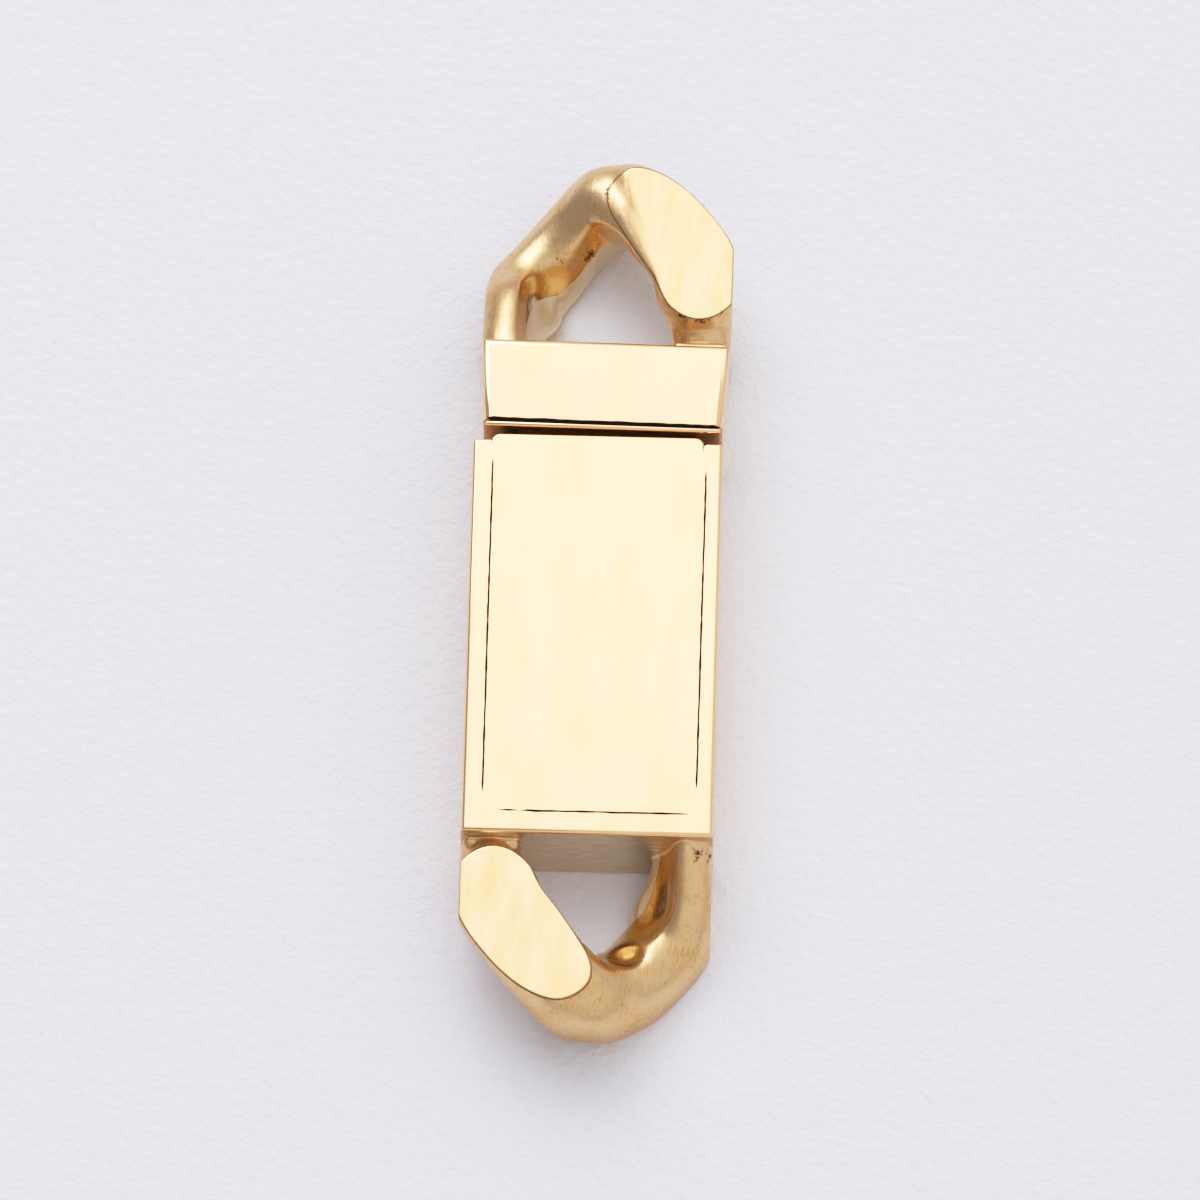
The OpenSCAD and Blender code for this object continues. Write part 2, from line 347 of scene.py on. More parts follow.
def distance_group():
    """Node group: how far a place lies outside the link's surface, and how deep it is cut there."""
    inputs = {"Middle line": GEOMETRY_SOCKET, "Place": VECTOR_SOCKET, **LINK_INPUTS}
    outputs = dict.fromkeys(("Distance", "Ground", "Depth"), FLOAT_SOCKET)
    node, given, result = new_group("Distance to curb link", inputs, outputs)
    place = given["Place"]
    across, out, up = node(SPLIT, [place]).outputs
    side = node(MATH, [across], "SIGN")
    wide = node(MATH, [across], "ABSOLUTE")
    high = node(MATH, [up], "ABSOLUTE")
    along = node(MATH, [out, given["Longer"]], "SUBTRACT")

    # Round wire, thinner at its necks and at the middle of its bend
    near = node(NEAREST, {"Geometry": given["Middle line"], "Sample Position": place},
                target_element="EDGES")
    beside = node(MATH, [wide, CAP_MIDDLE], "SUBTRACT")
    squared = node(MATH, [beside, beside], "MULTIPLY")
    bulge = node(MATH, [squared, -CAP_CURVE, along], "MULTIPLY_ADD")
    cap_end = node(MATH, [given["Cap"], CAP_LENGTH], "ADD")
    radii = [node(RANGE, [*stretch, given["Neck radius"], given["Wire radius"]], **SMOOTH)
             for stretch in ((along, *NECK), (bulge, given["Cap"], cap_end))]
    side_up = node(MATH, [side, up], "MULTIPLY")
    at_cap = node(RANGE, [side_up, *CAP_UP], **SMOOTH)
    radius = node(MIX, {0: at_cap, 2: radii[0], 3: radii[1]})
    loss = node(RANGE, [wide, TIP_ACROSS, 0.0, 0.0, given["Tip loss"]], **SMOOTH)
    thinned = node(MATH, [radius, loss], "SUBTRACT")
    wire = node(MATH, [near.outputs["Distance"], thinned], "SUBTRACT")

    # Flat wall that the next link has worn on the inner side of the low leg, and under the high one
    on_line = near.outputs["Position"]
    arm = node(VECTOR, [place, on_line], "SUBTRACT")
    to_middle = node(VECTOR, [WINDOW_MIDDLE, on_line], "SUBTRACT")
    level = node(VECTOR, [to_middle, LEVEL_ONLY], "MULTIPLY")
    inward = node(VECTOR, [arm, node(VECTOR, [level], "NORMALIZE")], "DOT_PRODUCT")
    low_side = node(MATH, [side, node(SPLIT, [arm]).outputs["Z"]], "MULTIPLY")
    lifted = node(MATH, [low_side, -WALL_UP], "MULTIPLY")
    leaning = node(MATH, [inward, WALL_IN, lifted], "MULTIPLY_ADD")
    at_bend = node(RANGE, [wide, *WALL_ENDS, 0.0, WALL_LIFT], **SMOOTH)
    raised = node(MATH, [leaning, at_bend], "SUBTRACT")
    wall = node(MATH, [thinned, -WALL_SHARE, raised], "MULTIPLY_ADD")

    # Ground faces, flanks and shoulders
    faces = node(MATH, [high, given["Half thickness"]], "SUBTRACT")
    flanks = node(MATH, [wide, given["Flank"]], "SUBTRACT")
    slope = node(MATH, [wide, SHOULDER_ACROSS], "MULTIPLY")
    lean = node(MATH, [along, SHOULDER_OUT, slope], "MULTIPLY_ADD")
    shoulders = node(MATH, [lean, given["Shoulder"]], "SUBTRACT")
    sides = node(MATH, [flanks, shoulders, given["Edge"]], "SMOOTH_MAX")
    cut = node(MATH, [sides, faces, given["Edge"]], "SMOOTH_MAX")
    ground = node(MATH, [cut, wire], "SUBTRACT")

    # The inner edge of the face is rolled over, most of all towards the bend
    inwards = node(VECTOR, [place, ROLL_INWARDS], "DOT_PRODUCT")
    inner = node(RANGE, [inwards, *ROLL_ACROSS], **SMOOTH)
    bendwards = node(RANGE, [along, *ROLL_ALONG, 0.0, given["Roll"]], **SMOOTH)
    softness = node(MATH, [inner, bendwards, given["Edge"]], "MULTIPLY_ADD")
    whole = node(MATH, [wire, cut, softness], "SMOOTH_MAX")
    body = node(MATH, [whole, wall, WALL_BLEND], "SMOOTH_MAX")

    # Depth under the round wire as a share of the golden band's, and past it on the wall that is
    # painted pale as a painted reflection of the paper
    below = node(MATH, [whole, -1.0], "MULTIPLY")
    deep = node(MATH, [below, given["Band"]], "DIVIDE")
    low = node(MATH, [low_side, WALL_IN], "MULTIPLY")
    climb = node(MATH, [inward, WALL_UP, low], "MULTIPLY_ADD")
    past_top = node(MATH, [climb, given["Wall top"]], "SUBTRACT")
    downhill = node(RANGE, [past_top, *WALL_FADE])
    on_pale_wall = node(RANGE, [below, *WALL_SHOWS, 0.0, WALL_PALE])
    depth = node(MATH, [downhill, on_pale_wall, deep], "MULTIPLY_ADD")

    # Groove and hollow where the next link nests, on the low leg and under the high one
    groove_line, bead_line = [
        node("GeometryNodeMeshLine", {"Start Location": start, "Offset": end, "Count": 2},
             mode="END_POINTS", count_mode="TOTAL")
        for start, end in ((given["Groove root"], given["Groove end"]), (BEAD_FROM, BEAD_TO))]
    soft_rim = node(MATH, [given["Rim"], SOFT_RIM], "MULTIPLY")
    legs = (place, node(VECTOR, [place, HALF_TURN], "MULTIPLY"))
    for leg in legs:
        groove = node(NEAREST, {"Geometry": groove_line, "Sample Position": leg}, target_element="EDGES")
        ball = node(VECTOR, [leg, given["Hollow"]], "DISTANCE")
        for radius, reach, rim in (("Groove radius", groove.outputs["Distance"], given["Rim"]),
                                   ("Hollow radius", ball, soft_rim)):
            hollow = node(MATH, [given[radius], reach], "SUBTRACT")
            body = node(MATH, [body, hollow, rim], "SMOOTH_MAX")

    # Weld: a bead on the high leg's neck, and a fillet against the block
    for leg in legs:
        bead = node(NEAREST, {"Geometry": bead_line, "Sample Position": leg}, target_element="EDGES")
        skin = node(MATH, [bead.outputs["Distance"], given["Bead radius"]], "SUBTRACT")
        body = node(MATH, [body, skin, BEAD_BLEND], "SMOOTH_MIN")
    slab_side = node(MATH, [wide, SLAB_HALF_WIDTH], "SUBTRACT")
    slab_top = node(MATH, [high, SLAB_HALF_HEIGHT], "SUBTRACT")
    slab_end = node(MATH, [out, SLAB_SUNK], "ADD")
    slab_edge = node(MATH, [slab_side, slab_top], "MAXIMUM")
    slab = node(MATH, [slab_edge, slab_end], "MAXIMUM")
    welded = node(MATH, [body, slab, given["Fillet"]], "SMOOTH_MIN")
    root = node(MATH, [-ROOT_DEEP, out], "SUBTRACT")
    closed = node(MATH, [welded, root], "MAXIMUM")

    feed(result, {"Distance": closed, "Ground": ground, "Depth": depth})
    return result.id_data


def link_group():
    """Node tree: the curb link's mesh, from the middle line of its wire."""
    distance = distance_group()
    inputs = {"Geometry": GEOMETRY_SOCKET, "Material": MATERIAL_SOCKET, "Grain": FLOAT_SOCKET,
              "Lowest": VECTOR_SOCKET, "Highest": VECTOR_SOCKET, **LINK_INPUTS}
    node, given, result = new_group("Curb link", inputs, {"Geometry": GEOMETRY_SOCKET})
    smooth = node("GeometryNodeCurveSplineType", [given["Geometry"]], spline_type="CATMULL_ROM")
    points = node("GeometryNodeResampleCurve", {"Curve": smooth, "Count": LINE_POINTS}, mode="COUNT")
    middle_line = node("GeometryNodeCurveToMesh", [points])
    sizes = {name: given[name] for name in LINK_INPUTS}

    def measured(place):
        """The distance group's results at a place, the distance first."""
        return node("GeometryNodeGroup", {"Middle line": middle_line, "Place": place, **sizes},
                    node_tree=distance)

    position = node("GeometryNodeInputPosition")
    inside = node(MATH, [measured(position), -1.0], "MULTIPLY")
    span = node(VECTOR, [given["Highest"], given["Lowest"]], "SUBTRACT")
    per_metre = node(MATH, [1.0, given["Grain"]], "DIVIDE")
    count = node(SPLIT, [node(VECTOR, {0: span, 3: per_metre}, "SCALE")])
    grid = node("GeometryNodeVolumeCube", {
        "Density": inside, "Background": -ROOT_DEEP, "Min": given["Lowest"], "Max": given["Highest"],
        **{f"Resolution {axis}": count.outputs[axis] for axis in "XYZ"},
    })
    skin = node("GeometryNodeVolumeToMesh", {"Volume": grid, "Threshold": 0.0}, resolution_mode="GRID")

    # Each step moves the mesh down the slope of the distance, by the distance
    for _ in range(PULLS):
        here = measured(position)
        slopes = []
        for probe in ((PROBE, 0, 0), (0, PROBE, 0), (0, 0, PROBE)):
            ahead = measured(node(VECTOR, [position, probe], "ADD"))
            rise = node(MATH, [ahead, here], "SUBTRACT")
            slopes.append(node(MATH, [rise, PROBE], "DIVIDE"))
        slope = node("ShaderNodeCombineXYZ", slopes)
        steepness = node(VECTOR, [slope, slope], "DOT_PRODUCT")
        amount = node(MATH, [here, steepness], "DIVIDE")
        back = node(MATH, [amount, -1.0], "MULTIPLY")
        move = node(VECTOR, {0: slope, 3: back}, "SCALE")
        skin = node("GeometryNodeSetPosition", {"Geometry": skin, "Offset": move})

    marks = measured(position).outputs
    share = node(RANGE, [marks["Ground"], -FADE, FADE], **SMOOTH)
    for name, value in (("ground", share), ("depth", marks["Depth"])):
        skin = node("GeometryNodeStoreNamedAttribute", {"Geometry": skin, "Name": name, "Value": value},
                    data_type="FLOAT", domain="POINT")
    whole = node("GeometryNodeRealizeInstances", [skin])
    shaded = node("GeometryNodeSetShadeSmooth", {"Geometry": whole, "Shade Smooth": True})
    coated = node("GeometryNodeSetMaterial", {"Geometry": shaded, "Material": given["Material"]})
    return feed(result, [coated]).id_data


def new_object(name, data):
    """An object in the scene, at the origin."""
    made = bpy.data.objects.new(name, data)
    bpy.context.scene.collection.objects.link(made)
    return made


def freeze(piece):
    """Turns a piece with modifiers into a plain mesh, and removes them."""
    graph = bpy.context.evaluated_depsgraph_get()
    shape = bpy.data.meshes.new_from_object(
        piece.evaluated_get(graph), preserve_all_data_layers=True, depsgraph=graph)
    if piece.type == "MESH":
        piece.modifiers.clear()
        piece.data = shape
        return piece
    name = piece.name
    bpy.data.objects.remove(piece)
    return new_object(name, shape)


def grown(name, points, tree, values):
    """The plain mesh that a node tree grows along a line of points."""
    line = bpy.data.curves.new(name, "CURVE")
    line.dimensions = "3D"
    spline = line.splines.new("POLY")
    spline.points.add(len(points) - 1)
    for point, place in zip(spline.points, points):
        point.co = (*place, 1.0)
    piece = new_object(name, line)
    modifier = piece.modifiers.new(tree.name, "NODES")
    modifier.node_group = tree
    identifiers = {s.name: s.identifier for s in tree.interface.items_tree if s.in_out == "INPUT"}
    for label, value in values.items():
        modifier[identifiers[label]] = value
    return freeze(piece)


def curb_link(name, longer, own):
    """Half a curb link in its own frame: across, out of its block, and up from mid thickness."""
    sizes = bpy.context.scene.clasp_link
    turned = [(-row[ACROSS], row[OUT], -row[UP]) for row in reversed(WIRE[:-1])]
    line = [(row[ACROSS] * MM, row[OUT] * MM + (longer if row[OUT] > 0 else 0.0), row[UP] * MM)
            for row in (*WIRE, *turned)]
    end = WIRE[-1][OUT] * MM + sizes.wire + longer + GRID_PAST
    half_width, half_height = GRID_HALF
    groove_root, groove_end, hollow = [
        Vector(place) * MM + Vector((0, longer, 0)) for place in (GROOVE_FROM, GROOVE_TO, own["Hollow"])]
    return grown(name, line, link_group(), {
        **own, "Hollow": hollow, "Groove root": groove_root, "Groove end": groove_end,
        "Lowest": (-half_width, -GRID_BACK, -half_height), "Highest": (half_width, end, half_height),
        "Grain": sizes.grain, "Material": finish("wire"), "Half thickness": THICKNESS / 2,
        "Flank": sizes.flank, "Shoulder": sizes.shoulder, "Longer": longer,
        "Wire radius": sizes.wire, "Neck radius": sizes.neck, "Tip loss": sizes.tip_loss,
        "Groove radius": sizes.groove, "Edge": sizes.edge, "Rim": sizes.rim,
        "Fillet": FILLET, "Bead radius": BEAD_RADIUS,
    })


# Points along the arc of a rounded corner, and rings across a polished edge
ARC_STEPS = 5
EDGE_RINGS = 6


def rounded(corners):
    """Points of an outline whose rows are corners: x, y and the radius there."""
    points = []
    for i, (x, y, radius) in enumerate(corners):
        here = Vector((x, y))
        if radius == 0:
            points.append(here)
            continue
        before = (Vector(corners[i - 1][:2]) - here).normalized()
        after = (Vector(corners[(i + 1) % len(corners)][:2]) - here).normalized()
        half = before.angle(after) / 2
        start = before * (radius / math.tan(half))
        end = after * (radius / math.tan(half))
        middle = here + (before + after).normalized() * (radius / math.sin(half))
        first = here + start - middle
        turn = first.angle_signed(here + end - middle)
        for k in range(ARC_STEPS + 1):
            points.append(middle + Matrix.Rotation(-turn * k / ARC_STEPS, 2) @ first)
    return points


def prism(name, corners, low, high, materials, top_edge=0.0, bottom_edge=0.0):
    """A closed block of an outline, with its top and bottom edges rounded by bevels.

    The radius of the top edge may be a function of an edge's middle.
    """
    outline = rounded(corners)
    shape = bmesh.new()
    floor, roof = [[shape.verts.new((x, y, level)) for x, y in outline] for level in (low, high)]
    shape.faces.new(roof)
    shape.faces.new(floor[::-1])
    for i in range(len(outline)):
        j = (i + 1) % len(outline)
        shape.faces.new((floor[i], floor[j], roof[j], roof[i]))
    bmesh.ops.recalc_face_normals(shape, faces=shape.faces)
    mesh = bpy.data.meshes.new(name)
    weights = shape.edges.layers.float.new("bevel_weight_edge")
    radii = {}
    for ring, radius in ((roof, top_edge), (floor, bottom_edge)):
        for edge in shape.edges:
            one, two = edge.verts
            if one in ring and two in ring:
                radii[edge] = radius((one.co + two.co) / 2) if callable(radius) else radius
    widest = max(radii.values())
    for edge, radius in radii.items():
        edge[weights] = radius / widest if widest else 0.0
    shape.to_mesh(mesh)
    shape.free()
    for material in materials:
        mesh.materials.append(material)
    piece = new_object(name, mesh)
    if widest:
        bevel = piece.modifiers.new("Polished edges", "BEVEL")
        bevel.limit_method = "WEIGHT"
        bevel.width = widest
        bevel.segments = EDGE_RINGS
        freeze(piece)
    return piece


def bar(name, width, along, heights, materials, **edges):
    """A straight block: its width, and its ends along Y and Z."""
    half = width / 2
    corners = ((-half, along[0], 0), (half, along[0], 0), (half, along[1], 0), (-half, along[1], 0))
    return prism(name, corners, *heights, materials, **edges)


def combine(piece, other, operation="DIFFERENCE"):
    """Cuts another closed mesh out of a piece, or joins it, and removes the other."""
    change = piece.modifiers.new(operation.title(), "BOOLEAN")
    change.object = other
    change.operation = operation
    change.solver = "MANIFOLD"
    change.material_mode = "TRANSFER"
    freeze(piece)
    bpy.data.objects.remove(other)


# Seams are cut in short steps with uneven sides, and taper at their ends
SEAM_SEED = 11
SEAM_STEP = 0.35 * MM
SEAM_DEPTH = 0.25 * MM
SEAM_UNEVEN = 0.28


def cut_seam(piece, start, end, width, burrs=()):
    """Cuts a narrow open seam into the top of a piece, with uneven sides and a few burrs."""
    dice = random.Random(SEAM_SEED)
    start, end = Vector(start), Vector(end)
    along = end - start
    steps = max(2, int(along.length / SEAM_STEP))
    beside = Vector((-along.y, along.x)).normalized()
    sides = ([], [])
    for i in range(steps + 1):
        middle = start + along * (i / steps)
        for side, points in zip((1, -1), sides):
            half = width / 2 * (1 + SEAM_UNEVEN * dice.uniform(-1, 1))
            if i in (0, steps):
                half *= SEAM_UNEVEN
            for place, wider in burrs:
                near = abs((middle - start).length - place) / SEAM_STEP
                half += max(0.0, 1 - near) * wider * (side < 0)
            points.append(middle + beside * side * half)
    corners = [(x, y, 0) for x, y in [*sides[1], *reversed(sides[0])]]
    combine(piece, prism("seam", corners, THICKNESS - SEAM_DEPTH, THICKNESS + MM, [finish("dark")]))


def set_down(piece, place):
    """Moves a piece's mesh from its own frame to its place in the clasp."""
    piece.data.transform(place)
    piece.data.update()
    return piece


# Edges that turn by more than this stay sharp, and large faces count this much in the others
SHARP = math.radians(50)
FACE_WEIGHT = 100


def settle(piece, place):
    """Shades a finished piece smooth, with broad faces flat up to their edges, and sets it down."""
    piece.data.shade_smooth()
    piece.data.set_sharp_from_angle(angle=SHARP)
    weighted = piece.modifiers.new("Weighted normals", "WEIGHTED_NORMAL")
    weighted.mode = "FACE_AREA"
    weighted.keep_sharp = True
    weighted.weight = FACE_WEIGHT
    set_down(freeze(piece), place)


def housing_place():
    """From the housing's own frame, which starts at its end wall, to the clasp's."""
    blocks = bpy.context.scene.clasp_blocks
    return Matrix.Translation((0, PLATE_HIGH.y - blocks.plate_over - blocks.length, 0))


def insert_place():
    """From the same frame to the insert's, which lies shifted and turned by its play."""
    blocks = bpy.context.scene.clasp_blocks
    insert = bpy.context.scene.clasp_insert
    shifted = Matrix.Translation((insert.shift, PLATE_HIGH.y - blocks.plate_over, 0))
    turned = Matrix.Rotation(-insert.turn, 4, "Z")
    return shifted @ turned @ Matrix.Translation((0, -blocks.length, 0))


def tone(name):
    """One of the panel's colours as the nodes take it."""
    return linear(getattr(bpy.context.scene.clasp_finish, name))


def surface(name, metallic=1.0):
    """A new material: its add function, its shader, and the place that its patterns read."""
    material = bpy.data.materials.new(name)
    material.use_nodes = True
    material.node_tree.nodes.clear()
    node = partial(add, material.node_tree)
    shader = node("ShaderNodeBsdfPrincipled", {"Metallic": metallic})
    node("ShaderNodeOutputMaterial", {"Surface": shader})
    return material, node, shader, node("ShaderNodeTexCoord").outputs["Object"]


def layered(node, base, *layers):
    """Lays colours over a base, each with the share of what is below that it covers."""
    for share, colour in layers:
        base = node(MIX, {0: share, 6: base, 7: colour}, data_type="RGBA")
    return base


def coat(node, shader, colour, shine, relief, strength=1.0, distance=1.0):
    """Wires a colour, a roughness and a relief to a shader."""
    bump = node("ShaderNodeBump", {"Height": relief, "Strength": strength, "Distance": distance})
    feed(shader, {"Base Color": colour, "Roughness": shine, "Normal": bump})


# Every pattern's scale is one over a real size. What the wheel, the file and the mill leave is
# finer on the real clasp, and is drawn as coarse as it needs to be to show.
# Polished flats: clouds that the wheel leaves along the clasp, where they turn warm, the
# roughness that they give, and the height of the waves under them
WHEEL_STRETCH = (1.0, 0.35, 1.0)
WHEEL_CLOUDS = {"Scale": 1 / (2.2 * MM), "Detail": 3.0, "Roughness": 0.55}
WHEEL_WARM = (0.42, 0.68)
WHEEL_SHINE = (0.3, 0.7, 0.05, 0.11)
WAVES = {"Scale": 1 / (1.3 * MM), "Detail": 2.0}
WAVE_HEIGHT = 0.012 * MM
# How each block's flat is domed: its middle along the clasp, how far it falls a metre away,
# and the power that it falls with
DOMES = {
    "flat": (PLATE_LOW.y - MM, 1.3, 2.0),
    "head": (PLATE_HIGH.y + 2.2 * MM, 6.0e5, 4.0),
}


def polished_flat(block):
    """Titanium-nitride gold plating over mirror-polished steel.

    It mirrors the light as a pale cream, a little uneven where the wheel has run over it, and
    the wheel has domed each face along the clasp, so that its far end mirrors more light.
    """
    middle, dome, power = DOMES[block]
    material, node, shader, place = surface("Mirror-polished gold plating")
    stretched = node(MAPPING, {"Vector": place, "Scale": WHEEL_STRETCH})
    clouds = node(NOISE, {"Vector": stretched, **WHEEL_CLOUDS})
    tint = layered(node, tone("flat"), (node(RANGE, [clouds, *WHEEL_WARM]), tone("flat_warm")))
    off = node(MATH, [node(SPLIT, [place]).outputs["Y"], middle], "SUBTRACT")
    far = node(MATH, [node(MATH, [off], "ABSOLUTE"), power], "POWER")
    fall = node(MATH, [far, -dome], "MULTIPLY")
    waves = node(NOISE, {"Vector": place, **WAVES})
    relief = node(MATH, [waves, WAVE_HEIGHT, fall], "MULTIPLY_ADD")
    coat(node, shader, tint, node(RANGE, [clouds, *WHEEL_SHINE]), relief)
    return material


# Tumbled wire: clouds of thicker plating, where they are thick, how rough they are, and grain
WIRE_CLOUDS = {"Scale": 1 / (1.6 * MM), "Detail": 4.0, "Roughness": 0.6}
WIRE_THICK = (0.46, 0.7, 0.0, 0.55)
WIRE_SHINE = (0.3, 0.7, 0.24, 0.36)
WIRE_GRAIN = {"Scale": 1 / (0.14 * MM), "Detail": 4.0, "Roughness": 0.7}
# File marks slanting across the wire, and the clouds that polishing drew the same way on its
# ground faces
FILED = (0.0, 0.0, math.radians(-35))
FILE_STRETCH = (1.0, 0.12, 1.0)
FILE_MARKS = {"Scale": 1 / (0.12 * MM), "Detail": 2.0}
FACE_STRETCH = (1.0, 0.25, 1.0)
FACE_CLOUDS = {"Scale": 1 / (0.9 * MM), "Detail": 4.0, "Roughness": 0.65}
FACE_WARM = (0.4, 0.7)
FACE_SHINE = 0.07
# The ground faces are polished where they are level, and satin where they roll over
LEVEL = (0.955, 0.99)
# Where clouds and marks leave brown film
CLOUD_WEIGHT = 0.6
FILM_SHOWS = (0.82, 1.12, 0.0, 0.36)
# Depths in the grooves as shares of the golden band's: its rim, its end, the brown line along
# that, and how far they are frayed. The band is a painted highlight, and the line and the pale
# wall are painted reflections
RIM_DEPTH = (0.22, 0.36)
BAND_DEPTH = (0.95, 1.05)
LINE_DEPTH = 0.12
LINE_STRENGTH = 0.9
BAND_UNEVEN = 0.25
MIDDLE_GREY = 0.5
NEST_SHINE = (0.24, 0.38)
# Brown along the ground edges, which are half ground, on what faces up this far; round one
# place, in millimetres, it turns dark as a painted dark reflection under the insert's facet tip
HALF_GROUND = 0.5
FACES_UP = (0.35, 0.7, 0.0, 0.85)
EDGE_WIDTH = (0.5, 0.2)
DARK_RIM = (4.8, 13.9, 4.7, 1.5)
# Dark pits and nicks in the wire, and dark spots that paint the dark reflection under the
# insert's facet tip: place in millimetres, and how far each reaches
PITS_AND_DARK_LINE = (
    (5.31, -13.84, 3.97, 0.22), (5.26, -14.05, 3.97, 0.16), (5.22, -14.22, 3.97, 0.10),
    (5.88, -13.80, 3.51, 0.14), (5.86, -14.1, 3.6, 0.10), (4.95, -13.66, 3.98, 0.08),
    (5.12, -13.68, 3.98, 0.09), (5.55, -13.70, 3.95, 0.09), (5.72, -13.72, 3.85, 0.08),
    (-2.22, 18.04, 2.45, 0.15), (-2.05, 17.95, 2.33, 0.14), (-1.93, 17.85, 2.2, 0.10),
    (-1.83, 17.75, 2.1, 0.08), (-0.72, 18.26, 1.95, 0.26), (-0.60, 18.52, 2.05, 0.24),
    (-1.00, 17.77, 1.74, 0.10),
    (0.1, 20.85, 4.45, 0.12), (0.08, 20.62, 4.48, 0.14), (0.1, 20.38, 4.48, 0.12),
    # These last rows trace the dark line under the insert's facet tip, a painted dark reflection
    (3.76, 14.05, 4.73, 0.12), (3.88, 13.95, 4.73, 0.14), (4.00, 13.88, 4.73, 0.12),
    (4.60, 13.76, 4.73, 0.13), (4.78, 13.75, 4.73, 0.17), (4.96, 13.75, 4.73, 0.16),
    (5.12, 13.78, 4.73, 0.12), (5.86, 14.14, 4.73, 0.14), (5.92, 14.04, 4.70, 0.12),
)
SPOT_UNEVEN = 0.6 * MM
SPOT_STRENGTH = 0.9
# Spots laid over the wire: place in millimetres, reach, strength and colour. The first is
# painted shade in the housing link's hollow, the second painted shade that dims the highlight on
# the insert link's low leg, the third a painted dark reflection under the insert's facet tip, and
# the last deepens the gold over the insert link's upper hollow
SPOTS = (
    (1.75, -18.0, 2.1, 1.1, 0.85, "rim"), (-4.2, 15.0, 4.0, 2.8, 0.28, "rim"),
    (4.4, 14.9, 3.4, 1.3, 0.3, "rim"), (-0.3, 19.1, 2.9, 1.1, 0.9, "wire_deep"),
)
# A spot is whole within this part of its reach, and a dark edge within that one
SPOT_CORE = 1 / 3
DARK_CORE = 1 / 2
# Relief: its height, the weight of the clouds, the share of file marks in the rest, and its
# strength on the round wire and on the ground faces
WIRE_RELIEF = 0.02 * MM
CLOUD_RELIEF = 2.0
MARK_SHARE = 0.6
RELIEF_STRENGTH = (0.0, 1.0, 0.7, 0.04)


